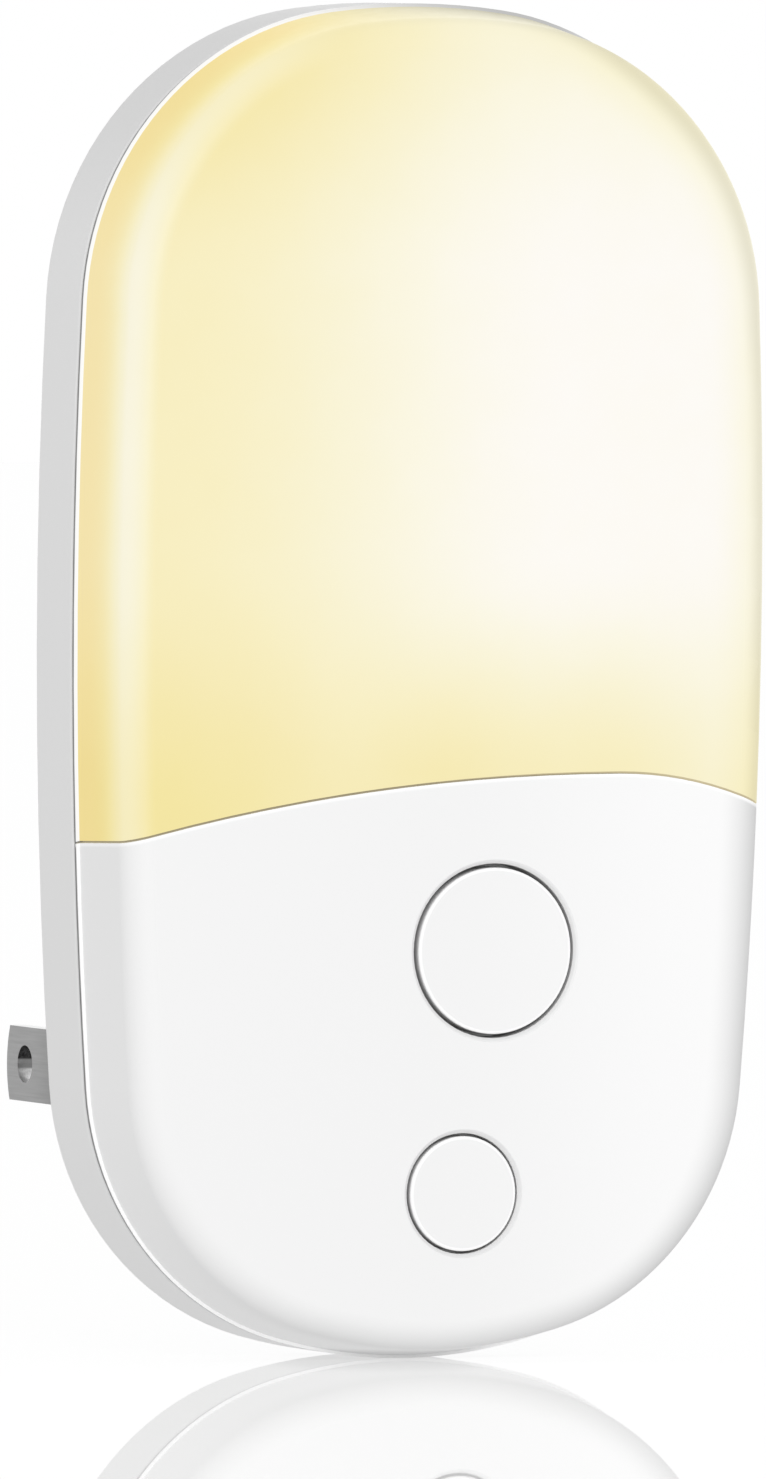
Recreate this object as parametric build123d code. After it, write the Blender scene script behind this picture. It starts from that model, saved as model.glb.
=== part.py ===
"""Plug-in night light with a glowing upper diffuser, a push button and a light sensor.

Every piece is drawn lying on its back: X to the right, Y up the body, Z away from the wall.
X = 0 is the body's centre line, Y = 0 its mid height and Z = 0 the face that meets the wall.
save() then stands the piece upright, front facing -Y, with the origin between the plug's blades
on the wall plane. All lengths are millimetres.
"""
import os
from math import hypot, sqrt

from build123d import *

# Body outline: four shallow arcs joined by four corner arcs
body_width = 62.0
body_height = 115.0
widest_rise = 7.5  # the sides are widest this far above mid height
side_radius = 560.0
top_radius = 60.0
top_corner_radius = 26.0
bottom_radius = 44.0
bottom_corner_radius = 24.2

# Shells
rear_depth = 8.0
front_depth = 9.0
side_wall = 1.8
back_wall = 2.0
front_wall = 2.0
front_round = 2.4
front_draft = 8.0  # degrees
back_round = 0.8
rim_round = 0.3
rim_chamfer = 0.25
rim_bead_width = 0.2  # how far the front's rim stands proud of its wall
rim_bead_height = 0.5
seam_gap = 0.2
lip_thickness = 0.9
lip_depth = 1.5
lip_clearance = 0.1
snap_rise = 22.0  # above mid height
snap_length = 6.0
snap_proud = 0.35
snap_height = 0.6

# Seam between diffuser and front cover: two arcs that meet level at the crest
crest_from_bottom = 50.0
crest_x = 16.0
seam_drop_left = 6.4
seam_drop_right = 4.1
lap_thickness = 1.0
lap_height = 2.5
lap_root = 0.3  # how far the tongue is rooted in the diffuser's front wall
lap_clearance = 0.1
overrun = 1.0  # how far a cutting shape runs past what it cuts

# Push button, its switch and its guide
button_radius = 7.05
button_clearance = 0.35
button_travel = 0.5
button_x = 4.5
button_from_bottom = 34.95
button_face = 1.8
button_wall = 1.25
button_edge = 0.2
flange_width = 1.15
flange_thickness = 0.8
guide_wall = 1.2
guide_depth = 1.0
stem_radius = 1.8
switch_width = 6.0
switch_height = 3.5
plunger_radius = 1.75
plunger_reach = 1.5
plunger_clearance = 0.08
plunger_grip = 0.6
ring_chamfer = 0.35

# Light sensor behind the small window
window_radius = 4.87
window_clearance = 0.25
window_x = 1.8
window_from_bottom = 14.4
window_flange_width = 0.8
window_flange_thickness = 0.8
tube_radius = 4.2
tube_wall = 1.0
cell_radius = 2.55
cell_thickness = 2.0
cell_lift = 2.0

# Plug: two flat parallel blades and the block that holds them
blade_spacing = 12.7
blade_thickness = 1.5
blade_height = 6.35
blade_length = 17.2
blade_hole_radius = 1.6
blade_hole_reach = 12.9  # wall plane to hole centre
blade_tip_chamfer = 0.4
blade_tip_bulge = 0.6
blade_shoulder = 1.2
blade_shoulder_thickness = 1.0
blade_fit = 0.05
plug_from_bottom = 24.2
plug_from_side = 12.2  # body's widest half to the plug's middle
plug_block_rim = 0.7
plug_block_height = 11.0
solder_tail = 0.7

# Boards
board_stand = 3.0
board_thickness = 1.2
board_inset = 2.4
bay_floor_from_bottom = 44.0
board_split = 2.0  # each board's edge lies this far from the bay floor
led_board_inset = 6.0

# White tray around the LEDs
tray_inset = 3.8
tray_wall = 1.0
tray_base = 0.8
tray_depth = 5.4
led_window_clearance = 0.4

# LEDs
led_width = 3.5
led_height = 2.8
led_thickness = 0.7
led_column = 10.0
led_rows = 4
led_edge = 9.0  # outer rows' distance from the board's ends

# Screws
case_screw_left = (-13.0, 12.0)  # X, height above the bottom
case_screw_right = (17.0, 14.0)
case_screw_radius = 1.0
case_screw_length = 7.0
case_head_radius = 2.0
case_head_height = 1.4
case_head_clearance = 0.3
case_head_recess = 3.2
pillar_radius = 3.3
cover_boss_radius = 2.8
screw_clearance = 0.15
thread_clearance = 0.02
board_screw_left = (-7.5, 38.5)  # X, height above the bottom
board_screw_right = (20.5, 23.0)
board_screw_radius = 0.8
board_screw_depth = 3.6
board_head_radius = 1.5
board_head_height = 0.9
post_radius = 2.25
pillar_clearance = 0.5
socket_depth = 0.6

# Parts on the main board; each place is X and height above the bottom
film_capacitor_place = (-18.0, 35.5)
film_capacitor_size = (13.0, 6.0, 5.6)
film_lead_inset = 1.5
electrolytic_place = (21.0, 33.0)
electrolytic_radius = 3.15
electrolytic_length = 11.0
varistor_place = (-6.0, 22.0)
varistor_radius = 3.3
varistor_thickness = 3.2
bridge_place = (10.5, 22.0)
bridge_size = (4.7, 3.9, 2.5)
driver_place = (13.0, 30.5)
driver_size = (4.9, 3.9, 1.5)
fuse_place = (8.5, 7.2)
fuse_radius = 1.4
fuse_length = 7.0
fuse_lead_reach = 1.5
chip_resistor_places = ((-2.5, 31.0), (-4.0, 7.5), (12.0, 38.0))
chip_resistor_size = (3.2, 1.6, 0.6)
lead_radius = 0.3
lead_hole_clearance = 0.12
lead_tail = 0.8
link_pitch = 2.54
link_count = 2
link_drop = 1.2
link_hole_inset = 1.5
part_round = 0.4

# Heights above the wall plane and reference lines
total_depth = rear_depth + front_depth
front_start = rear_depth + seam_gap
inner_front = total_depth - front_wall
board_back = back_wall + board_stand
board_front = board_back + board_thickness
bottom = -body_height / 2
top = body_height / 2
button_y = bottom + button_from_bottom
window_y = bottom + window_from_bottom
bay_floor = bottom + bay_floor_from_bottom
plug_x = plug_from_side - body_width / 2
plug_y = bottom + plug_from_bottom
button_hole_radius = button_radius + button_clearance
window_hole_radius = window_radius + window_clearance
flange_top = inner_front - guide_depth
switch_top = board_front + switch_height
plunger_top = switch_top + plunger_reach
STANDING = (Align.CENTER, Align.CENTER, Align.MIN)


def save(name, piece):
    """Stand a piece upright with the plug's middle at the origin and write it."""
    placed = Plane.XZ.location * Pos(-plug_x, -plug_y, 0) * piece
    export_step(placed, f"parts/{name}.step")


def from_bottom(place):
    """Turn X and a height above the body's bottom into drawing coordinates."""
    return (place[0], bottom + place[1])


def slab(face, low, high):
    """A face of the drawing plane extruded from one height to another."""
    return Pos(0, 0, low) * extrude(face, amount=high - low)


def disc(place, radius, low, high):
    """An upright cylinder between two heights."""
    return Pos(place[0], place[1], low) * Cylinder(radius, high - low, align=STANDING)


def block(place, size, low):
    """A box centred on a place that stands on a height."""
    return Pos(place[0], place[1], low) * Box(*size, align=STANDING)


def circles_meet(centre_a, radius_a, centre_b, radius_b, upward):
    """The meeting point of two circles that lies furthest up, or down."""
    dx = centre_b[0] - centre_a[0]
    dy = centre_b[1] - centre_a[1]
    apart = hypot(dx, dy)
    along = (radius_a**2 - radius_b**2 + apart**2) / (2 * apart)
    across = sqrt(radius_a**2 - along**2)
    foot = (centre_a[0] + along * dx / apart, centre_a[1] + along * dy / apart)
    found = [(foot[0] - s * across * dy / apart, foot[1] + s * across * dx / apart) for s in (1, -1)]
    return max(found, key=lambda point: point[1] * upward)


def pushed(centre, through, radius):
    """The point of a circle about centre that lies towards another point."""
    dx = through[0] - centre[0]
    dy = through[1] - centre[1]
    reach = hypot(dx, dy)
    return (centre[0] + radius * dx / reach, centre[1] + radius * dy / reach)


def mirrored(point):
    """The same point on the other side of the centre line."""
    return (-point[0], point[1])


def outline(inset):
    """The body's outline, set in by an even distance."""
    side_centre = (body_width / 2 - side_radius, widest_rise)
    arcs = []
    ends = {}
    for up, end_radius, corner_radius in (
        (1, top_radius, top_corner_radius),
        (-1, bottom_radius, bottom_corner_radius),
    ):
        end_centre = (0, up * (body_height / 2 - end_radius))
        corner = circles_meet(
            end_centre, end_radius - corner_radius, side_centre, side_radius - corner_radius, up
        )
        on_end = pushed(end_centre, corner, end_radius - inset)
        on_side = pushed(side_centre, corner, side_radius - inset)
        between = ((on_end[0] + on_side[0]) / 2, (on_end[1] + on_side[1]) / 2)
        on_corner = pushed(corner, between, corner_radius - inset)
        middle = (0, up * (body_height / 2 - inset))
        arcs.append(ThreePointArc(on_end, middle, mirrored(on_end)))
        arcs.append(ThreePointArc(on_end, on_corner, on_side))
        arcs.append(ThreePointArc(mirrored(on_end), mirrored(on_corner), mirrored(on_side)))
        ends[up] = on_side
    widest = (body_width / 2 - inset, widest_rise)
    arcs.append(ThreePointArc(ends[1], widest, ends[-1]))
    arcs.append(ThreePointArc(mirrored(ends[1]), mirrored(widest), mirrored(ends[-1])))
    return make_face(arcs)


def front_form(inset, low, high, rounding):
    """The drafted and rounded form of the front, set in by a wall."""
    draft = Pos(0, 0, low) * extrude(outline(inset), amount=high - low, taper=front_draft)
    return fillet(draft.faces().sort_by(Axis.Z)[-1].edges(), rounding)


def above_seam(rise):
    """Everything above the seam, or above a line parallel to it."""
    reach = body_width / 2 + overrun
    crest = (crest_x, bottom + crest_from_bottom + rise)
    left = (-reach, crest[1] - seam_drop_left)
    right = (reach, crest[1] - seam_drop_right)
    edges = [
        TangentArc(crest, left, tangent=(-1, 0)),
        Line(left, (-reach, body_height)),
        Line((-reach, body_height), (reach, body_height)),
        Line((reach, body_height), right),
        TangentArc(crest, right, tangent=(1, 0)),
    ]
    return slab(make_face(edges), 0, 2 * total_depth)


def front_shell():
    """Diffuser and front cover in one piece, before the seam is cut."""
    outer = front_form(rim_bead_width, front_start, total_depth, front_round)
    outer = outer + slab(outline(0), front_start, front_start + rim_bead_height)
    outer = chamfer(outer.faces().sort_by(Axis.Z)[0].edges(), rim_chamfer)
    inner = front_form(side_wall, front_start, inner_front, front_round - side_wall)
    lip_low = rear_depth - lip_depth
    lip_high = front_start + lip_thickness
    lip = slab(outline(side_wall - lip_thickness), lip_low, lip_high)
    lip = lip - slab(outline(side_wall), lip_low, lip_high)
    lip = lip & slab(outline(0), lip_low, lip_high)
    return (outer - inner) + lip


def lap():
    """The diffuser's flat tongue, tucked behind the front cover's top edge."""
    low = inner_front - lap_clearance - lap_thickness
    band = above_seam(-lap_height) - above_seam(lap_thickness)
    tongue = slab(outline(side_wall + front_round), low, inner_front + lap_root) & band
    relief = slab(outline(side_wall), inner_front - lap_clearance, total_depth)
    return tongue - (relief - above_seam(seam_gap / 2))


def snap(side, grow):
    """One snap bead on the diffuser's lip, or its pocket when grown."""
    lip_face = body_width / 2 - side_wall + lip_thickness
    depth = snap_proud + lip_thickness / 2
    size = (depth + grow, snap_length + 2 * grow, snap_height + 2 * grow)
    bead = Box(*size, align=(Align.MAX, Align.CENTER, Align.CENTER))
    place = Pos(lip_face + snap_proud + grow, snap_rise, rear_depth - lip_depth / 2)
    return place * bead if side > 0 else mirror(place * bead, about=Plane.YZ)


def diffuser():
    """Milky upper shell."""
    shell = front_shell() & above_seam(seam_gap / 2)
    shell = shell + lap()
    for side in (1, -1):
        shell = shell + snap(side, 0)
    return shell


def front_cover():
    """White lower shell with the button's guide, the window seat and two screw bosses."""
    button = (button_x, button_y)
    window = (window_x, window_y)
    shell = front_shell() - above_seam(-seam_gap / 2)
    rooted = inner_front + front_wall / 2
    shell = shell + disc(button, button_hole_radius + guide_wall, flange_top, rooted)
    for place in (case_screw_left, case_screw_right):
        shell = shell + disc(from_bottom(place), cover_boss_radius, board_back, rooted)
    for place in (case_screw_left, case_screw_right):
        deep = case_head_recess + case_screw_length + socket_depth
        shell = shell - disc(from_bottom(place), case_screw_radius + thread_clearance, board_back, deep)
    for place, radius in ((button, button_hole_radius), (window, window_hole_radius)):
        shell = shell - disc(place, radius, flange_top, total_depth)
        mouth = Pos(place[0], place[1], total_depth - ring_chamfer)
        funnel = Cone(radius, radius + ring_chamfer, ring_chamfer, align=STANDING)
        shell = shell - mouth * funnel
    return shell


def led_screw_places():
    """Two screws on the centre line, each midway between two rows of LEDs."""
    rows = led_row_heights()
    return [(0, (rows[0] + rows[1]) / 2), (0, (rows[-1] + rows[-2]) / 2)]


def rear_case():
    """Rear shell with the blade slots, two screw pillars and the board posts."""
    shell = slab(outline(0), 0, rear_depth)
    shell = fillet(shell.faces().sort_by(Axis.Z)[0].edges(), back_round)
    shell = fillet(shell.faces().sort_by(Axis.Z)[-1].edges(), rim_round)
    shell = shell - slab(outline(side_wall), back_wall, rear_depth)
    seat = side_wall - lip_thickness - lip_clearance
    shell = shell - slab(outline(seat), rear_depth - lip_depth - lip_clearance, rear_depth)
    for side in (1, -1):
        shell = shell - snap(side, lip_clearance)
    for place in (case_screw_left, case_screw_right):
        shell = shell + disc(from_bottom(place), pillar_radius, back_wall / 2, board_back)
    for place in board_post_places():
        shell = shell + disc(place, post_radius, back_wall / 2, board_back)
    for place in (case_screw_left, case_screw_right):
        spot = from_bottom(place)
        shell = shell - disc(spot, case_head_radius + case_head_clearance, 0, case_head_recess)
        shell = shell - disc(spot, case_screw_radius + screw_clearance, 0, board_back)
    for place in board_post_places():
        socket_floor = board_front - board_screw_depth - socket_depth
        shell = shell - disc(place, board_screw_radius + thread_clearance, socket_floor, board_back)
    for side in (1, -1):
        slot = (blade_thickness + 2 * blade_fit, blade_height + 2 * blade_fit, back_wall)
        shell = shell - block((plug_x + side * blade_spacing / 2, plug_y), slot, 0)
    return shell


def board_post_places():
    """Posts under both boards."""
    return [from_bottom(board_screw_left), from_bottom(board_screw_right)] + led_screw_places()


def mode_button():
    """Round push cap with a retaining flange and a stem that meets the switch."""
    spot = (button_x, button_y)
    low = flange_top - flange_thickness
    cap = disc(spot, button_radius, low, total_depth)
    cap = fillet(cap.faces().sort_by(Axis.Z)[-1].edges(), button_edge)
    cap = cap + disc(spot, button_radius + flange_width, low, flange_top)
    cap = cap - disc(spot, button_radius - button_wall, low, total_depth - button_face)
    return cap + disc(spot, stem_radius, plunger_top, total_depth - button_face / 2)


def tact_switch():
    """Switch body with a blind bore for its plunger."""
    spot = (button_x, button_y)
    body = block(spot, (switch_width, switch_width, switch_height), board_front)
    body = fillet(body.edges().filter_by(Axis.Z), part_round)
    bore = plunger_radius + plunger_clearance
    return body - disc(spot, bore, switch_top - plunger_grip - 2 * button_travel, switch_top)


def switch_plunger():
    """Round plunger that the button's stem pushes."""
    return disc((button_x, button_y), plunger_radius, switch_top - plunger_grip, plunger_top)


def sensor_window():
    """Round light window, held by a flange behind the front cover."""
    spot = (window_x, window_y)
    pane = disc(spot, window_radius, inner_front - window_flange_thickness, total_depth)
    pane = fillet(pane.faces().sort_by(Axis.Z)[-1].edges(), button_edge)
    flange = window_hole_radius + window_flange_width
    return pane + disc(spot, flange, inner_front - window_flange_thickness, inner_front)


def sensor_tube():
    """Dark tube that keeps the lamp's own light off the sensor."""
    spot = (window_x, window_y)
    high = inner_front - window_flange_thickness
    tube = disc(spot, tube_radius, board_front, high)
    return tube - disc(spot, tube_radius - tube_wall, board_front, high)


def lead_pair(place, spread):
    """Places of two wire leads either side of a part's middle."""
    return [(place[0] + side * spread, place[1]) for side in (-1, 1)]


def photocell_leads():
    """The light sensor's two leads."""
    return lead_pair((window_x, window_y), cell_radius - 2 * lead_radius)


def film_leads():
    """The film capacitor's two leads."""
    return lead_pair(from_bottom(film_capacitor_place), film_capacitor_size[0] / 2 - film_lead_inset)


def fuse_leads():
    """The fuse resistor's two leads, beyond its ends."""
    return lead_pair(from_bottom(fuse_place), fuse_length / 2 + fuse_lead_reach)


def varistor_leads():
    """The surge absorber's two leads."""
    return lead_pair(from_bottom(varistor_place), varistor_radius - 3 * lead_radius)


def photocell():
    """Flat round light sensor standing on its leads."""
    low = board_front + cell_lift
    cell = disc((window_x, window_y), cell_radius, low, low + cell_thickness)
    for spot in photocell_leads():
        cell = cell + disc(spot, lead_radius, board_back - lead_tail, low + cell_thickness / 2)
    return cell


def plug_blade(side):
    """One flat blade: outside length, shoulder inside the block and solder tail."""
    spot = (plug_x + side * blade_spacing / 2, plug_y)
    half = blade_height / 2
    tip_corner = (half, blade_tip_bulge - blade_length)
    tail_end = (half, board_front + solder_tail)
    edges = [
        ThreePointArc(mirrored(tip_corner), (0, -blade_length), tip_corner),
        Line(tip_corner, tail_end),
        Line(tail_end, mirrored(tail_end)),
        Line(mirrored(tail_end), mirrored(tip_corner)),
    ]
    blade = extrude(Plane.YZ * make_face(edges), amount=blade_thickness / 2, both=True)
    tip = blade.faces().sort_by(Axis.Z)[0]
    blade = chamfer(tip.edges().filter_by(GeomType.CIRCLE), blade_tip_chamfer)
    blade = Pos(spot[0], spot[1], 0) * blade
    wide = blade_height + 2 * blade_shoulder
    blade = blade + block(spot, (blade_thickness, wide, blade_shoulder_thickness), back_wall)
    hole = Cylinder(blade_hole_radius, 2 * blade_thickness, rotation=(0, 90, 0))
    return blade - Pos(spot[0], spot[1], -blade_hole_reach) * hole


def plug_block():
    """Insulating block that traps both blades' shoulders against the back wall."""
    rim = blade_spacing + blade_thickness + 2 * blade_fit + 2 * plug_block_rim
    body = block((plug_x, plug_y), (rim, plug_block_height, board_stand), back_wall)
    body = body & slab(outline(side_wall + lip_clearance), back_wall, board_back)
    wide = blade_height + 2 * blade_shoulder + 2 * blade_fit
    for side in (1, -1):
        spot = (plug_x + side * blade_spacing / 2, plug_y)
        thick = blade_thickness + 2 * blade_fit
        body = body - block(spot, (thick, blade_height + 2 * blade_fit, board_stand), back_wall)
        body = body - block(spot, (thick, wide, blade_shoulder_thickness + blade_fit), back_wall)
    return body


def through_leads():
    """Every wire lead that passes through the main board."""
    return photocell_leads() + film_leads() + fuse_leads() + varistor_leads()


def below_line(height):
    """Everything below a level line."""
    return block((0, height - body_height), (2 * body_width, 2 * body_height, total_depth), 0)


def main_board():
    """Lower circuit board, cut round the screw pillars and slotted for the blades."""
    board = slab(outline(board_inset), board_back, board_front)
    board = board & below_line(bay_floor - board_split)
    for place in (case_screw_left, case_screw_right):
        board = board - disc(from_bottom(place), pillar_radius + pillar_clearance, board_back, board_front)
    for place in (board_screw_left, board_screw_right):
        hole = board_screw_radius + screw_clearance
        board = board - disc(from_bottom(place), hole, board_back, board_front)
    for spot in through_leads() + link_places(-1):
        board = board - disc(spot, lead_radius + lead_hole_clearance, board_back, board_front)
    for side in (1, -1):
        spot = (plug_x + side * blade_spacing / 2, plug_y)
        clear = 2 * screw_clearance
        slot = (blade_thickness + clear, blade_height + clear, board_thickness)
        board = board - block(spot, slot, board_back)
    return board


def led_row_heights():
    """Heights of the LED rows, evenly spread over the LED board."""
    low = bay_floor + board_split + led_edge
    high = top - led_board_inset - led_edge
    step = (high - low) / (led_rows - 1)
    return [low + step * row for row in range(led_rows)]


def led_places():
    """Each LED's middle, row by row."""
    return [(side * led_column, height) for height in led_row_heights() for side in (-1, 1)]


def led_board():
    """Upper circuit board that carries the LEDs."""
    board = slab(outline(led_board_inset), board_back, board_front)
    board = board - below_line(bay_floor + board_split)
    for spot in led_screw_places():
        board = board - disc(spot, board_screw_radius + screw_clearance, board_back, board_front)
    for spot in link_places(1):
        board = board - disc(spot, lead_radius + lead_hole_clearance, board_back, board_front)
    return board


def led(place):
    """Surface-mounted LED."""
    body = block(place, (led_width, led_height, led_thickness), board_front)
    return fillet(body.faces().sort_by(Axis.Z)[-1].edges(), led_thickness / 4)


def reflector_tray():
    """White tray whose walls throw the LEDs' light forwards and shut off the lower bay."""
    high = board_front + tray_depth
    tray = slab(outline(tray_inset), board_front, high) - below_line(bay_floor)
    hollow = slab(outline(tray_inset + tray_wall), board_front + tray_base, high)
    tray = tray - (hollow - below_line(bay_floor + tray_wall))
    window = (led_width + 2 * led_window_clearance, led_height + 2 * led_window_clearance, tray_base)
    for place in led_places():
        tray = tray - block(place, window, board_front)
    for spot in led_screw_places():
        tray = tray - disc(spot, board_screw_radius + screw_clearance, board_front, high)
    return tray


def link_places(up):
    """Holes of the wire links, on one board or the other."""
    height = bay_floor + up * (board_split + link_hole_inset)
    first = -link_pitch * (link_count - 1) / 2
    return [(first + link_pitch * number, height) for number in range(link_count)]


def board_links():
    """Stiff wire staples that join the two boards from behind."""
    low = board_back - link_drop
    staples = None
    for start, end in zip(link_places(-1), link_places(1)):
        level = Rot(-90, 0, 0) * Cylinder(lead_radius, end[1] - start[1], align=STANDING)
        staple = Pos(start[0], start[1], low) * level
        for spot in (start, end):
            staple = staple + disc(spot, lead_radius, low, board_front)
            staple = staple + Pos(spot[0], spot[1], low) * Sphere(lead_radius)
        staples = staple if staples is None else staples + staple
    return staples


def boxed(place, size, leads):
    """A moulded box part on the main board, with wire leads if it has any."""
    body = block(from_bottom(place), size, board_front)
    body = fillet(body.faces().sort_by(Axis.Z)[-1].edges(), min(part_round, size[2] / 4))
    for spot in leads:
        body = body + disc(spot, lead_radius, board_back - lead_tail, board_front + lead_radius)
    return body


def electrolytic_capacitor():
    """Can capacitor lying along the board."""
    spot = from_bottom(electrolytic_place)
    can = Cylinder(electrolytic_radius, electrolytic_length, rotation=(90, 0, 0))
    can = fillet(can.edges(), part_round)
    return Pos(spot[0], spot[1], board_front + electrolytic_radius) * can


def varistor():
    """Round surge absorber lying flat."""
    high = board_front + varistor_thickness
    body = disc(from_bottom(varistor_place), varistor_radius, board_front, high)
    body = fillet(body.faces().sort_by(Axis.Z)[-1].edges(), part_round)
    for spot in varistor_leads():
        body = body + disc(spot, lead_radius, board_back - lead_tail, board_front + lead_radius)
    return body


def fuse_resistor():
    """Axial resistor lying on the board between its two bent leads."""
    spot = from_bottom(fuse_place)
    height = board_front + fuse_radius
    span = fuse_length + 2 * fuse_lead_reach
    body = fillet(Cylinder(fuse_radius, fuse_length, rotation=(0, 90, 0)).edges(), part_round)
    body = body + Cylinder(lead_radius, span, rotation=(0, 90, 0))
    body = Pos(spot[0], spot[1], height) * body
    for end in fuse_leads():
        body = body + disc(end, lead_radius, board_back - lead_tail, height)
        body = body + Pos(end[0], end[1], height) * Sphere(lead_radius)
    return body


def cross_recess(place, width, head, depth):
    """A plain cross recess for a screwdriver, sunk into a head from its open side."""
    thin = width / 4
    arms = block(place, (width, thin, depth), head)
    return arms + block(place, (thin, width, depth), head)


def case_screws():
    """Two pan head screws that enter from behind."""
    screws = None
    under_head = case_head_recess
    for place in (case_screw_left, case_screw_right):
        spot = from_bottom(place)
        head = disc(spot, case_head_radius, under_head - case_head_height, under_head)
        head = fillet(head.faces().sort_by(Axis.Z)[0].edges(), part_round)
        screw = head + disc(spot, case_screw_radius, under_head, under_head + case_screw_length)
        sunk = case_head_height / 2
        screw = screw - cross_recess(spot, case_head_radius, under_head - case_head_height, sunk)
        screws = screw if screws is None else screws + screw
    return screws


def board_screws():
    """Four small screws: two hold the main board, two hold tray and LED board."""
    screws = None
    lower = [from_bottom(board_screw_left), from_bottom(board_screw_right)]
    seats = [(spot, board_front) for spot in lower]
    seats += [(spot, board_front + tray_base) for spot in led_screw_places()]
    for spot, seat in seats:
        head = disc(spot, board_head_radius, seat, seat + board_head_height)
        head = fillet(head.faces().sort_by(Axis.Z)[-1].edges(), part_round / 2)
        screw = head + disc(spot, board_screw_radius, board_front - board_screw_depth, seat)
        sunk = board_head_height / 2
        screw = screw - cross_recess(spot, board_head_radius, seat + board_head_height - sunk, sunk)
        screws = screw if screws is None else screws + screw
    return screws


def main():
    """Build and write every piece."""
    os.makedirs("parts", exist_ok=True)
    save("rear_case", rear_case())
    save("diffuser", diffuser())
    save("front_cover", front_cover())
    save("mode_button", mode_button())
    save("tact_switch", tact_switch())
    save("switch_plunger", switch_plunger())
    save("sensor_window", sensor_window())
    save("sensor_tube", sensor_tube())
    save("photocell", photocell())
    save("left_blade", plug_blade(-1))
    save("right_blade", plug_blade(1))
    save("plug_block", plug_block())
    save("main_board", main_board())
    save("led_board", led_board())
    save("reflector_tray", reflector_tray())
    for number, place in enumerate(led_places(), start=1):
        save(f"led_{number}", led(place))
    save("film_capacitor", boxed(film_capacitor_place, film_capacitor_size, film_leads()))
    save("electrolytic_capacitor", electrolytic_capacitor())
    save("varistor", varistor())
    save("bridge_rectifier", boxed(bridge_place, bridge_size, []))
    save("driver_chip", boxed(driver_place, driver_size, []))
    save("fuse_resistor", fuse_resistor())
    for number, place in enumerate(chip_resistor_places, start=1):
        save(f"chip_resistor_{number}", boxed(place, chip_resistor_size, []))
    save("board_links", board_links())
    save("case_screws", case_screws())
    save("board_screws", board_screws())


main()
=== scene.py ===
"""Looks of the plug-in night light: finishes, studio, camera. Lengths are metres in the part's frame."""
import math

import bpy
from mathutils import Matrix, Vector


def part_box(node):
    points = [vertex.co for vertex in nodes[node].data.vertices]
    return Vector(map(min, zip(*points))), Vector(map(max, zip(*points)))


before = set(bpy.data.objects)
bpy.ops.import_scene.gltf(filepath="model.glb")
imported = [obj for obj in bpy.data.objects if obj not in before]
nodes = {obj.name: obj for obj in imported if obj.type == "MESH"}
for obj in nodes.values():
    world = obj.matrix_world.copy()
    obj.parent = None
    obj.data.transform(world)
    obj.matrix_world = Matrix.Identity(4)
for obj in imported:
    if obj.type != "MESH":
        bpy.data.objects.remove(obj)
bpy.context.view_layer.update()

# The photograph's frame and where the body stands in it
IMAGE_WIDTH = 766
IMAGE_HEIGHT = 1479
PIXELS_PER_METRE = 11740.0
BODY_PIXEL = (368.0, 678.0)  # where the middle of the body's back face shows
VIEW_AZIMUTH = math.radians(-24.0)
VIEW_ELEVATION = math.radians(2.0)
VIEW_ROLL = math.radians(0.62)
CAMERA_DISTANCE = 2.0
CLIP_NEAR = 0.1
CLIP_FAR = 20
SENSOR = 0.036

# Body facts, read from the frame
CASE_LOW, CASE_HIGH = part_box("rear_case")
BODY_X = (CASE_LOW[0] + CASE_HIGH[0]) / 2
BODY_Z = (CASE_LOW[2] + CASE_HIGH[2]) / 2
FLOOR_Z = CASE_LOW[2]
MILLIMETRES = 1000.0

# The body's own marks, in millimetres from its middle; depths are out from the wall
RIM_FACE = 8.0  # the rear case's front rim
BEAD_SIDE = 8.58  # the bead round the front's rim has painted shade up to here
BEAD_HIGH = 8.7  # and a painted highlight up to its front
HALF_WIDTH = 31.0
HALF_HEIGHT = 57.5
SIDE_RADIUS = 560.0
SIDE_MIDDLE = 7.5  # height of the widest place
TOP_RADIUS = 60.0  # of the outline's arc over the top, and of the corners beside it
TOP_CORNER = 26.0
FOOT_RADIUS = 44.0
FOOT_CORNER = 24.2
DEEP_INSIDE = 18.0  # farther in than this the rim no longer counts
CREST_X = 16.0  # highest point of the seam under the diffuser
CREST_Z = -7.5
LEFT_ARC = 183.2  # radii of the seam's two arcs
RIGHT_ARC = 33.3
BUTTON = (4.5, -22.55, 7.05)  # X, Z and radius
WINDOW = (1.8, -43.1, 4.87)
RING_WIDTH = 0.6  # from a round piece's edge to the outside of its hole's chamfer
RING_BLUR = 0.1
EDGE_WIDTH = 0.3  # of a round piece's painted highlight on its edge


# ---------------------------------------------------------------- camera
def view_axes():
    """Unit vectors of the view: to the right, up and towards the camera."""
    level_share = math.cos(VIEW_ELEVATION)
    back = Vector((
        math.sin(VIEW_AZIMUTH) * level_share,
        -math.cos(VIEW_AZIMUTH) * level_share,
        math.sin(VIEW_ELEVATION),
    ))
    level = Vector((math.cos(VIEW_AZIMUTH), math.sin(VIEW_AZIMUTH), 0))
    upright = back.cross(level)
    right = level * math.cos(VIEW_ROLL) + upright * math.sin(VIEW_ROLL)
    return right, back.cross(right), back


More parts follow.
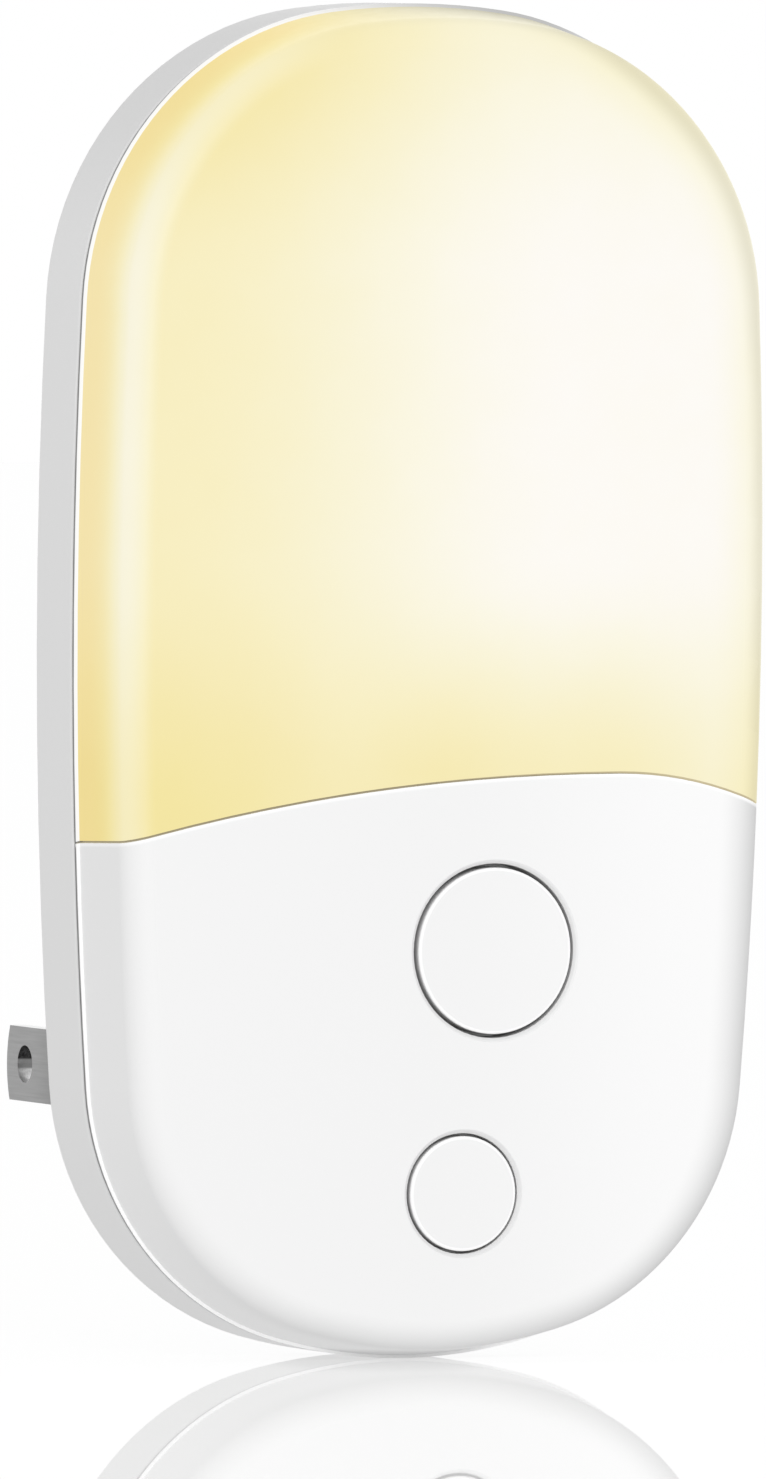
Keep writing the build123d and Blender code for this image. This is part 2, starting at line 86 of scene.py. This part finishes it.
def make_camera():
    """Long lens camera that sets the body where the photograph has it."""
    right, up, back = view_axes()
    off_x = (IMAGE_WIDTH / 2 - BODY_PIXEL[0]) / PIXELS_PER_METRE
    off_y = (BODY_PIXEL[1] - IMAGE_HEIGHT / 2) / PIXELS_PER_METRE
    target = Vector((BODY_X, 0, BODY_Z)) + right * off_x + up * off_y
    data = bpy.data.cameras.new("camera")
    data.sensor_width = SENSOR * MILLIMETRES
    data.lens = SENSOR * MILLIMETRES * CAMERA_DISTANCE * PIXELS_PER_METRE / IMAGE_HEIGHT
    data.clip_start = CLIP_NEAR
    data.clip_end = CLIP_FAR
    camera = bpy.data.objects.new("camera", data)
    camera.location = target + back * CAMERA_DISTANCE
    camera.rotation_mode = "QUATERNION"
    camera.rotation_quaternion = Matrix((right, up, back)).transposed().to_quaternion()
    bpy.context.scene.collection.objects.link(camera)
    bpy.context.scene.camera = camera


# ---------------------------------------------------------------- node helpers
NOISE_LOW = 0.3  # a noise's values lie mostly between these
NOISE_HIGH = 0.7


class Term:
    """A number that a node tree works out. Arithmetic on it adds the nodes."""

    def __init__(self, shader, socket):
        self.shader = shader
        self.socket = socket

    def __add__(self, other):
        return self.shader.math("ADD", self, other)

    def __sub__(self, other):
        return self.shader.math("SUBTRACT", self, other)

    def __rsub__(self, other):
        return self.shader.math("SUBTRACT", other, self)

    def __mul__(self, other):
        return self.shader.math("MULTIPLY", self, other)

    def __truediv__(self, other):
        return self.shader.math("DIVIDE", self, other)

    def __abs__(self):
        return self.shader.math("ABSOLUTE", self, 0)

    def above(self, level):
        """How far it is over a level, or 0."""
        return self.shader.math("MAXIMUM", self - level, 0)

    def step(self, start, end):
        """Smoothly 0 to 1 from start to end; a start that is larger than the end gives 1 to 0."""
        return self.spread(start, end, 0, 1, "SMOOTHSTEP")

    def vary(self, low, high):
        """A noise, spread over a range of its own."""
        return self.spread(NOISE_LOW, NOISE_HIGH, low, high)

    def spread(self, low, high, to_low, to_high, kind="LINEAR"):
        """Map one range onto another, clamped."""
        node = self.shader.add("ShaderNodeMapRange", interpolation_type=kind)
        for index, item in enumerate((self, low, high, to_low, to_high)):
            self.shader.feed(node.inputs[index], item)
        return Term(self.shader, node.outputs[0])


class Shader:
    """A material's node tree with short calls for the nodes that are used here."""

    def __init__(self, name):
        self.material = bpy.data.materials.new(name)
        self.material.use_nodes = True
        self.tree = self.material.node_tree
        self.tree.nodes.clear()
        self.output = self.add("ShaderNodeOutputMaterial")

    def add(self, kind, **settings):
        """A new node with its settings."""
        node = self.tree.nodes.new(kind)
        for key, value in settings.items():
            setattr(node, key, value)
        return node

    def feed(self, socket, value):
        """Link a socket, or set its default when the value is plain."""
        if isinstance(value, Term):
            value = value.socket
        if isinstance(value, bpy.types.NodeSocket):
            self.tree.links.new(value, socket)
        else:
            socket.default_value = value

    def place(self):
        """Position in the part's own frame."""
        return self.add("ShaderNodeTexCoord").outputs["Object"]

    def parts(self, vector):
        """The three numbers of a vector."""
        node = self.add("ShaderNodeSeparateXYZ")
        self.feed(node.inputs[0], vector)
        return [Term(self, socket) for socket in node.outputs]

    def body_place(self):
        """Millimetres right of the body's middle, out from the wall and above the body's middle."""
        x, y, z = self.parts(self.place())
        return (x - BODY_X) * MILLIMETRES, y * -MILLIMETRES, (z - BODY_Z) * MILLIMETRES

    def facing(self):
        """The surface's own direction: its shares to the right, into the wall and up."""
        return self.parts(self.add("ShaderNodeTexCoord").outputs["Normal"])

    def math(self, operation, first, second):
        """One step of arithmetic."""
        node = self.add("ShaderNodeMath", operation=operation)
        self.feed(node.inputs[0], first)
        self.feed(node.inputs[1], second)
        return Term(self, node.outputs[0])

    def length(self, across, rise):
        """Length of a slanting line."""
        return self.math("SQRT", across * across + rise * rise, 0)

    def noise(self, scale, detail=3.0, roughness=0.5, stretch=None):
        """Fine irregularity, around 0.5."""
        place = self.place()
        if stretch:
            mapping = self.add("ShaderNodeMapping")
            self.feed(mapping.inputs["Vector"], place)
            mapping.inputs["Scale"].default_value = stretch
            place = mapping.outputs[0]
        node = self.add("ShaderNodeTexNoise")
        self.feed(node.inputs["Vector"], place)
        self.feed(node.inputs["Scale"], scale)
        self.feed(node.inputs["Detail"], detail)
        self.feed(node.inputs["Roughness"], roughness)
        return Term(self, node.outputs[0])

    def open_share(self):
        """1 on open surfaces, 0 deep in a gap, where painted shade goes."""
        node = self.add("ShaderNodeAmbientOcclusion", samples=GAP_SAMPLES)
        self.feed(node.inputs["Distance"], GAP_REACH)
        return Term(self, node.outputs["AO"]).step(*GAP_OPEN)

    def mix(self, factor, first, second):
        """The first colour at 0, the second at 1. A mix node's colours are its sockets 6, 7 and 2."""
        node = self.add("ShaderNodeMix", data_type="RGBA")
        self.feed(node.inputs[0], factor)
        self.feed(node.inputs[6], first)
        self.feed(node.inputs[7], second)
        return node.outputs[2]

    def blend(self, factor, first, second):
        """The first surface at 0, the second at 1."""
        node = self.add("ShaderNodeMixShader")
        self.feed(node.inputs[0], factor)
        self.tree.links.new(first, node.inputs[1])
        self.tree.links.new(second, node.inputs[2])
        return node.outputs[0]

    def bump(self, height, strength, distance):
        """Direction of a surface with fine relief."""
        node = self.add("ShaderNodeBump")
        self.feed(node.inputs["Strength"], strength)
        self.feed(node.inputs["Distance"], distance)
        self.feed(node.inputs["Height"], height)
        return node.outputs[0]

    def principled(self, **inputs):
        """Finish the tree with a surface of these inputs."""
        node = self.add("ShaderNodeBsdfPrincipled")
        for key, value in inputs.items():
            self.feed(node.inputs[key.replace("_", " ")], value)
        self.tree.links.new(node.outputs[0], self.output.inputs[0])


def screen(red, green, blue):
    """A colour as a screen shows it, 0 to 255, made linear."""
    return (*(((value / 255 + 0.055) / 1.055) ** 2.4 for value in (red, green, blue)), 1)


def grey(level):
    """A neutral colour."""
    return (level, level, level, 1)


def tint(red, green, blue):
    """An opaque colour."""
    return (red, green, blue, 1)


# ---------------------------------------------------------------- finishes
# Painted shade in gaps, where a neighbouring surface is near
GAP_SAMPLES = 8
GAP_REACH = 0.0015  # how far a surface looks for its neighbour across a gap
GAP_OPEN = (0.1, 0.45)
PAINTED_GAP_SHADE = grey(0.6)
GLOW_GAP_SHADE = tint(0.6, 0.52, 0.34)
# Painted shade on the case's rim, painted lighter at the top middle
PAINTED_RIM_SHADE = grey(0.25)
PAINTED_RIM_LIGHT = grey(0.62)
# Painted shade on the bead's side, painted highlight on edges
BEAD_SHADE = grey(0.33)
PAINTED_EDGE_HIGHLIGHT = grey(1.0)
# Painted shade on the chamfers round the holes
PAINTED_RING_SHADE = grey(0.84)
BLACK = grey(0)

# White plastic
# The cover's white; its lighter right level is painted light
COVER_LEFT = 0.882
COVER_RIGHT = 0.941
CASE_LEVEL = 0.84
PAINTED_LIGHT_ACROSS = (-2, 26)  # millimetres across, from the left level to the right one; a lighter right level is painted light
FLOW_SCALE = 45
FLOW_SWING = 0.004
SHEEN_SCALE = 900
SHEEN_SWING = 0.04
GRAIN_SCALE = 5200
GRAIN_STRENGTH = 0.12
GRAIN_HEIGHT = 0.00002
PLASTIC_GLOSS = 0.12
# Painted shade on the case band's upper left
BAND_SHADE = 0.1

# Painted shade on the front's roundings, and how far in from the rim it reaches, in millimetres
COVER_SHADE_LEFT = 0.07
COVER_SHADE_RIGHT = 0.18
COVER_REACH = 3.7
COVER_REACH_MIDDLE = 0.8  # this much more past the middle
COVER_REACH_RIGHT = 1.1  # and this much more again at the right
GLOW_SHADE = 0.21
GLOW_SHADE_CORNER = 0.05  # less of it at the upper right corner
GLOW_SHADE_TOP = 0.25

# The glow is a whiteness from 0 to 1, in colours measured on the photograph; its amounts are given below
GLOW_COLOURS = (
    (0.584, screen(241, 225, 149)),
    (0.647, screen(245, 231, 165)),
    (0.71, screen(247, 235, 181)),
    (0.773, screen(249, 240, 197)),
    (0.835, screen(250, 244, 213)),
    (0.898, screen(252, 248, 229)),
    (0.96, screen(254, 251, 245)),
    (1.0, screen(255, 254, 252)),
)
WALL_WARMTH = screen(250, 203, 156)
WALL_WARMTH_SHARE = 0.15
WARM_LEFT = 0.64
LIT_RIGHT = 0.2
ABOVE_SEAM = 0.12
WARM_SEAM = 0.1
WARM_TOP = 0.16
WARM_WALL = 0.07
# Painted highlight along the left rounding
PAINTED_HIGHLIGHT_STRIP = 0.12
WARM_LIMB = 0.09
GLOW_STRENGTH = 0.78
BODY_SHARE = 0.2  # of the glow's colour that the plastic has when it isn't lit
MOTTLE_SCALE = 260
MOTTLE_SWING = 0.004
DIFFUSER_GRAIN_SCALE = 3200
DIFFUSER_GRAIN_STRENGTH = 0.05
DIFFUSER_GLOSS = 0.1

# Blades
BRUSH_SCALE = 5000
BRUSH_STRETCH = (1, 0.04, 1)
BRUSH_COLOUR = grey(0.26)
BRUSH_STRENGTH = 0.15

# Small parts
SPECKLE_SCALE = 1500.0
METAL_SPECKLE_SCALE = 3000
SPECKLE_SWING = 0.05
SPECKLE_STRENGTH = 0.1
SPECKLE_HEIGHT = 0.00003


def outline_end(up, end_radius, corner_radius):
    """One end of the outline: up or down, corner's centre and radius, end arc's middle height and radius."""
    arc_z = HALF_HEIGHT - end_radius
    # A corner touches the end's arc and the side's from inside, which sets how far its centre is from theirs
    to_end = end_radius - corner_radius
    to_side = SIDE_RADIUS - corner_radius
    apart_x = HALF_WIDTH - SIDE_RADIUS
    apart_z = SIDE_MIDDLE * up - arc_z
    apart = math.hypot(apart_x, apart_z)
    along = (to_end**2 - to_side**2 + apart**2) / (2 * apart)
    aside = math.sqrt(to_end**2 - along**2)
    corner_x = (along * apart_x + aside * apart_z) / apart
    corner_z = arc_z + (along * apart_z - aside * apart_x) / apart
    return up, corner_x, corner_z, corner_radius, arc_z, end_radius


TOP_END = outline_end(1, TOP_RADIUS, TOP_CORNER)
FOOT_END = outline_end(-1, FOOT_RADIUS, FOOT_CORNER)


def rim_distance(shader, end):
    """Millimetres in from the body's outline, as it runs round the top or the foot."""
    up, corner_x, corner_z, corner_radius, arc_z, arc_radius = end
    x, _, z = shader.body_place()
    rise = z * up
    from_widest = shader.math("MINIMUM", rise, corner_z) - SIDE_MIDDLE * up
    taper = from_widest * from_widest / (2 * SIDE_RADIUS)
    across = (abs(x) + taper).above(HALF_WIDTH - corner_radius)
    corner = corner_radius - shader.length(across, rise.above(corner_z))
    arc = arc_radius - shader.length(x, rise - arc_z)
    beside = shader.math("GREATER_THAN", abs(x), (rise - arc_z) * (corner_x / (corner_z - arc_z)))
    return shader.math("MINIMUM", arc + beside * (corner - arc), DEEP_INSIDE)


def seam_edge(shader):
    """1 along the cover's top edge, where a painted highlight goes, 0 lower down."""
    x, _, z = shader.body_place()
    across = x - CREST_X
    radius = shader.math("LESS_THAN", across, 0) * (LEFT_ARC - RIGHT_ARC) + RIGHT_ARC
    drop = radius - shader.math("SQRT", radius * radius - across * across, 0)
    return (CREST_Z - drop - z).step(0.5, 0.2)


def from_centre(shader, piece):
    """Millimetres from a round piece's axis."""
    centre_x, centre_z, _ = piece
    x, _, z = shader.body_place()
    return shader.length(x - centre_x, z - centre_z)


def moulded_white(name, left, right, roughness, marks):
    """White moulded plastic: a fine spark-eroded grain, faint flow marks, a level for each side, where a
    lighter right level is painted light, and painted shade in gaps.
    """
    shader = Shader(name)
    # painted light: lighter towards the right where the right level is higher
    across = shader.body_place()[0].step(*PAINTED_LIGHT_ACROSS)
    flow = shader.noise(FLOW_SCALE, 2).vary(-FLOW_SWING, FLOW_SWING)
    colour = marks(shader, shader.mix(across + flow, grey(left), grey(right)))
    shader.principled(
        # painted shade in gaps
        Base_Color=shader.mix(shader.open_share(), PAINTED_GAP_SHADE, colour),
        Roughness=shader.noise(SHEEN_SCALE).vary(roughness - SHEEN_SWING, roughness + SHEEN_SWING),
        Normal=shader.bump(shader.noise(GRAIN_SCALE, 2, 0.6), GRAIN_STRENGTH, GRAIN_HEIGHT),
        Specular_IOR_Level=PLASTIC_GLOSS,
    )
    return shader.material


def case_marks(shader, colour):
    """Painted shade on the rim that the front closes on, painted lighter at the top middle, and a little
    painted shade on the band's upper left.
    """
    rightward, _, upward = shader.facing()
    colour = shader.mix(upward.step(0.1, 0.8) * rightward.step(0, -0.5) * BAND_SHADE, colour, BLACK)
    x, depth, z = shader.body_place()
    gap = shader.mix(z.step(40, 50) * x.step(-6, 6), PAINTED_RIM_SHADE, PAINTED_RIM_LIGHT)
    return shader.mix(depth.step(RIM_FACE - 0.08, RIM_FACE - 0.02), colour, gap)


def bead_highlight_and_shade(shader, colour):
    """Painted highlight on the front of the bead round the front's rim, painted shade on its side."""
    depth = shader.body_place()[1]
    shaded = depth.step(BEAD_SIDE + 0.03, BEAD_SIDE - 0.03) * shader.facing()[2].step(1, 0.6)
    bright = shader.mix(depth.step(BEAD_HIGH + 0.04, BEAD_HIGH + 0.01), colour, PAINTED_EDGE_HIGHLIGHT)
    return shader.mix(shaded, bright, BEAD_SHADE)


def cover_shade(shader):
    """Painted shade where the rounding turns away from the light, to the right and at the foot."""
    x = shader.body_place()[0]
    amount = x.step(-28, -8) * COVER_SHADE_LEFT + x.step(-5, 28) * COVER_SHADE_RIGHT
    reach = x.step(-2, 12) * COVER_REACH_MIDDLE + x.step(12, 28) * COVER_REACH_RIGHT + COVER_REACH
    inward = rim_distance(shader, FOOT_END)
    return 1 - inward.step(reach, 1.4) * inward.step(0.8, 1.2) * amount


def cover_marks(shader, colour):
    """Painted shade on the rounding and on the chamfers round the two holes, painted highlights on the bead
    and the top edge.
    """
    # painted shade on the rounding
    colour = shader.mix(cover_shade(shader), BLACK, colour)
    for piece in (BUTTON, WINDOW):
        ring_edge = piece[2] + RING_WIDTH
        ring = from_centre(shader, piece).step(ring_edge, ring_edge - RING_BLUR)
        colour = shader.mix(ring, colour, PAINTED_RING_SHADE)
    # painted highlights on the bead and along the top edge
    return shader.mix(seam_edge(shader), bead_highlight_and_shade(shader, colour), PAINTED_EDGE_HIGHLIGHT)


def round_edge_highlight(piece):
    """Marks for a round piece: a painted highlight on its edge."""
    edge_start = piece[2] - EDGE_WIDTH

    def marks(shader, colour):
        at_edge = from_centre(shader, piece).step(edge_start, edge_start + RING_BLUR)
        return shader.mix(at_edge, colour, PAINTED_EDGE_HIGHLIGHT)

    return marks


def diffuser_glow(shader):
    """How white the glow is: whitest over the lamps on the right, warm at the rim, the top and the seam,
    with a painted highlight along the left rounding.
    """
    x, _, z = shader.body_place()
    inward = rim_distance(shader, TOP_END)
    rightward = x.step(-28, 12)
    at_top = z.step(34, 58) * (1 - rightward * 0.5)
    on_left_wall = inward.step(1.2, 0.5) * x.step(0, -15)
    on_left_rounding = inward.step(4, 1.5) * inward.step(0.8, 1.4) * x.step(-8, -20)
    on_right_rounding = inward.step(7, 1) * x.step(0, 20)
    over_seam = z.step(10, -8) * x.step(-12, 2) * x.step(30, 14)
    glow = rightward * LIT_RIGHT + WARM_LEFT
    glow += z.step(-12, 12) * ABOVE_SEAM
    glow -= at_top * WARM_TOP
    glow -= on_left_wall * WARM_WALL
    # painted highlight along the left rounding
    glow += on_left_rounding * PAINTED_HIGHLIGHT_STRIP
    glow -= on_right_rounding * WARM_LIMB
    glow -= over_seam * WARM_SEAM
    return glow


def diffuser_shade(shader):
    """Painted shade on the glow: darker at the rounding, from the top round to the right."""
    x, _, z = shader.body_place()
    inward = rim_distance(shader, TOP_END)
    corner = x.step(8, 18) * z.step(22, 38) * z.step(60, 48)
    start = x.step(-10, 22) * 3 + corner * 0.6 + 0.6
    off_right_wall = 1 - x.step(12, 20) * inward.step(1.3, 0.9)
    rounding = inward.step(start, start + corner * 0.4 - 2.4) * off_right_wall
    at_top = x.step(-16, 2) * z.step(46, 54) * inward.step(1.9, 0.3)
    return 1 - at_top * GLOW_SHADE_TOP - rounding * (GLOW_SHADE - corner * GLOW_SHADE_CORNER)


def glow_ramp(shader, whiteness):
    """The glow's colour at a whiteness."""
    ramp = shader.add("ShaderNodeValToRGB")
    shader.feed(ramp.inputs[0], whiteness)
    stops = ramp.color_ramp.elements
    for position, colour in GLOW_COLOURS:
        stops.new(position).color = colour
    stops.remove(stops[0])
    stops.remove(stops[-1])
    return ramp.outputs[0]


def milky_diffuser():
    """Milky plastic lit from behind, with painted shade on its rounding and in its gaps and a painted
    highlight on its bead.
    """
    shader = Shader("diffuser_milky")
    mottle = shader.noise(MOTTLE_SCALE, 2).vary(-MOTTLE_SWING, MOTTLE_SWING)
    glow = glow_ramp(shader, diffuser_glow(shader) + mottle)
    x = shader.body_place()[0]
    on_left_wall = rim_distance(shader, TOP_END).step(1.1, 0.5) * x.step(-8, -14)
    colour = shader.mix(on_left_wall * WALL_WARMTH_SHARE, glow, WALL_WARMTH)
    # painted shade on the rounding, over the bead's painted highlight and shade
    colour = shader.mix(diffuser_shade(shader), BLACK, bead_highlight_and_shade(shader, colour))
    # painted shade in the diffuser's gaps
    colour = shader.mix(shader.open_share(), GLOW_GAP_SHADE, colour)
    shader.principled(
        Base_Color=shader.mix(BODY_SHARE, BLACK, colour),
        Emission_Color=colour,
        Emission_Strength=GLOW_STRENGTH,
        Roughness=shader.noise(SHEEN_SCALE).vary(0.34, 0.4),
        Normal=shader.bump(shader.noise(DIFFUSER_GRAIN_SCALE, 2), DIFFUSER_GRAIN_STRENGTH, GRAIN_HEIGHT),
        Specular_IOR_Level=DIFFUSER_GLOSS,
    )
    return shader.material


def plated_blade():
    """Nickel-plated brass with brushing along the blade; painted reflections of a bright sky on its top and
    of a dark wall foot below, and painted shade towards the case.
    """
    shader = Shader("blade_nickel")
    lines = shader.noise(BRUSH_SCALE, stretch=BRUSH_STRETCH)
    upward = shader.facing()[2]
    # painted shade: darker towards the case
    base = shader.mix(shader.body_place()[1].step(-12, 0), grey(0.4), grey(0.2))
    # painted reflection of a dark wall foot on faces turned down
    base = shader.mix(upward.step(-0.15, -0.3), base, grey(0.01))
    # painted reflection of a bright sky on faces turned up
    base = shader.mix(upward.step(0.2, 0.35), base, grey(0.98))
    shader.principled(
        Base_Color=shader.mix(lines.vary(0, 0.3), base, BRUSH_COLOUR),
        Metallic=1.0,
        Roughness=lines.vary(0.3, 0.42),
        Normal=shader.bump(lines, BRUSH_STRENGTH, GRAIN_HEIGHT),
    )
    return shader.material


def speckled(name, colour, dark, roughness, scale=SPECKLE_SCALE, metallic=0.0):
    """A small part's finish: a colour with fine mottling and a little bump."""
    shader = Shader(name)
    mottle = shader.noise(scale)
    shader.principled(
        Base_Color=shader.mix(mottle, colour, dark),
        Roughness=mottle.vary(roughness - SPECKLE_SWING, roughness + SPECKLE_SWING),
        Metallic=metallic,
        Normal=shader.bump(mottle, SPECKLE_STRENGTH, SPECKLE_HEIGHT),
    )
    return shader.material


def dress(material, *names):
    """Give CAD nodes a finish."""
    for name in names:
        for slot in nodes[name].material_slots:
            slot.material = material


def dress_outside():
    """The shells, the round pieces and the blades."""
    cover = (COVER_LEFT, COVER_RIGHT)
    dress(moulded_white("case_white", CASE_LEVEL, CASE_LEVEL, 0.5, case_marks), "rear_case")
    dress(moulded_white("cover_white", *cover, 0.48, cover_marks), "front_cover")
    dress(moulded_white("button_white", *cover, 0.46, round_edge_highlight(BUTTON)), "mode_button")
    dress(moulded_white("window_white", *cover, 0.44, round_edge_highlight(WINDOW)), "sensor_window")
    dress(milky_diffuser(), "diffuser")
    dress(plated_blade(), "left_blade", "right_blade")


def dress_inside():
    """The boards, what they carry and the screws."""
    leds = [name for name in nodes if name.startswith("led_") and name != "led_board"]
    chips = [name for name in nodes if name.startswith("chip_resistor")]
    dress(speckled("tray_white", grey(0.86), grey(0.8), 0.6), "reflector_tray")
    dress(speckled("block_black", grey(0.03), grey(0.05), 0.5), "plug_block")
    dress(speckled("board_green", tint(0.02, 0.16, 0.05), tint(0.03, 0.2, 0.07), 0.35), "main_board")
    dress(speckled("board_white", grey(0.8), grey(0.74), 0.4), "led_board")
    dress(speckled("led_yellow", tint(0.9, 0.7, 0.15), tint(0.85, 0.65, 0.12), 0.3), *leds)
    dress(speckled("switch_black", grey(0.02), grey(0.035), 0.45), "tact_switch", "sensor_tube")
    dress(speckled("plunger_white", grey(0.7), grey(0.65), 0.5), "switch_plunger")
    dress(speckled("cell_red", tint(0.5, 0.12, 0.04), tint(0.6, 0.3, 0.1), 0.3), "photocell")
    dress(speckled("film_red", tint(0.35, 0.02, 0.01), tint(0.42, 0.04, 0.02), 0.3), "film_capacitor")
    sleeve = speckled("can_sleeve", tint(0.02, 0.03, 0.1), tint(0.03, 0.04, 0.14), 0.3)
    dress(sleeve, "electrolytic_capacitor")
    dress(speckled("varistor_blue", tint(0.01, 0.06, 0.35), tint(0.02, 0.09, 0.42), 0.35), "varistor")
    black = speckled("chip_black", grey(0.015), grey(0.03), 0.5)
    dress(black, "bridge_rectifier", "driver_chip", *chips)
    dress(speckled("resistor_green", tint(0.08, 0.2, 0.1), tint(0.1, 0.24, 0.12), 0.5), "fuse_resistor")
    steel = speckled("screw_steel", grey(0.5), grey(0.42), 0.35, METAL_SPECKLE_SCALE, 1.0)
    dress(steel, "case_screws", "board_screws", "board_links")


# ---------------------------------------------------------------- studio
AMBIENT = 0.76  # the world's level on the surfaces
BACKGROUND = 1.0  # and as the camera and the gloss see it
KEY_AZIMUTH = math.radians(-12.0)
KEY_DISTANCE = 0.9
KEY_WIDTH = 0.35
KEY_HEIGHT = 0.9
KEY_POWER = 4.5
FLOOR_REACH = 3.0
FLOOR_WHITE = 1.12  # what the camera sees of the floor's own white, before the mirror's share
FLOOR_SHADOW = 0.3  # share of the floor that takes a shadow
FLOOR_MIRROR = 0.5
FLOOR_GRAIN_SCALE = 30
MIRROR_ROUGHNESS = 0.012


def make_world():
    """White to the camera and in gloss, a plain soft level on the surfaces."""
    world = bpy.data.worlds.new("studio")
    bpy.context.scene.world = world
    world.use_nodes = True
    tree = world.node_tree
    tree.nodes.clear()
    path = tree.nodes.new("ShaderNodeLightPath")
    seen = path.outputs["Is Camera Ray"]
    for ray in ("Is Glossy Ray", "Is Transmission Ray"):
        either = tree.nodes.new("ShaderNodeMath")
        either.operation = "MAXIMUM"
        tree.links.new(seen, either.inputs[0])
        tree.links.new(path.outputs[ray], either.inputs[1])
        seen = either.outputs[0]
    level = tree.nodes.new("ShaderNodeMix")
    tree.links.new(seen, level.inputs[0])
    level.inputs[2].default_value = AMBIENT
    level.inputs[3].default_value = BACKGROUND
    background = tree.nodes.new("ShaderNodeBackground")
    background.inputs[0].default_value = grey(1.0)
    tree.links.new(level.outputs[0], background.inputs[1])
    out = tree.nodes.new("ShaderNodeOutputWorld")
    tree.links.new(background.outputs[0], out.inputs[0])


def make_key():
    """Tall soft light, a little to the left of the front."""
    data = bpy.data.lights.new("key", "AREA")
    data.shape = "RECTANGLE"
    data.size = KEY_WIDTH
    data.size_y = KEY_HEIGHT
    data.energy = KEY_POWER
    lamp = bpy.data.objects.new("key", data)
    offset = Vector((KEY_DISTANCE * math.sin(KEY_AZIMUTH), -KEY_DISTANCE * math.cos(KEY_AZIMUTH), 0))
    lamp.location = Vector((BODY_X, 0, BODY_Z)) + offset
    lamp.rotation_mode = "QUATERNION"
    lamp.rotation_quaternion = (-offset).to_track_quat("-Z", "Y")
    bpy.context.scene.collection.objects.link(lamp)


def glossy_floor():
    """White floor that keeps a soft shadow and mirrors the body, both to the camera only."""
    shader = Shader("floor_white")
    lit = shader.add("ShaderNodeBsdfDiffuse")
    shader.feed(lit.inputs[0], shader.mix(shader.noise(FLOOR_GRAIN_SCALE, 2), grey(0.88), grey(0.9)))
    flat = shader.add("ShaderNodeEmission")
    flat.inputs[0].default_value = grey(1.0)
    mirror = shader.add("ShaderNodeBsdfGlossy")
    mirror.inputs["Color"].default_value = grey(1.0)
    mirror.inputs["Roughness"].default_value = MIRROR_ROUGHNESS
    seen = Term(shader, shader.add("ShaderNodeLightPath").outputs["Is Camera Ray"])
    shader.feed(flat.inputs[1], seen * (FLOOR_WHITE - AMBIENT) + AMBIENT)
    base = shader.blend(1 - seen * FLOOR_SHADOW, lit.outputs[0], flat.outputs[0])
    both = shader.blend(seen * FLOOR_MIRROR, base, mirror.outputs[0])
    shader.tree.links.new(both, shader.output.inputs[0])
    return shader.material


def make_floor():
    """The floor that the body stands on."""
    data = bpy.data.meshes.new("floor")
    signs = ((-1, -1), (1, -1), (1, 1), (-1, 1))
    corners = [(across * FLOOR_REACH, along * FLOOR_REACH, FLOOR_Z) for across, along in signs]
    data.from_pydata(corners, [], [(0, 1, 2, 3)])
    data.materials.append(glossy_floor())
    floor = bpy.data.objects.new("floor", data)
    bpy.context.scene.collection.objects.link(floor)


make_camera()
dress_outside()
dress_inside()
make_world()
make_key()
make_floor()
bpy.context.scene.view_settings.view_transform = "Standard"
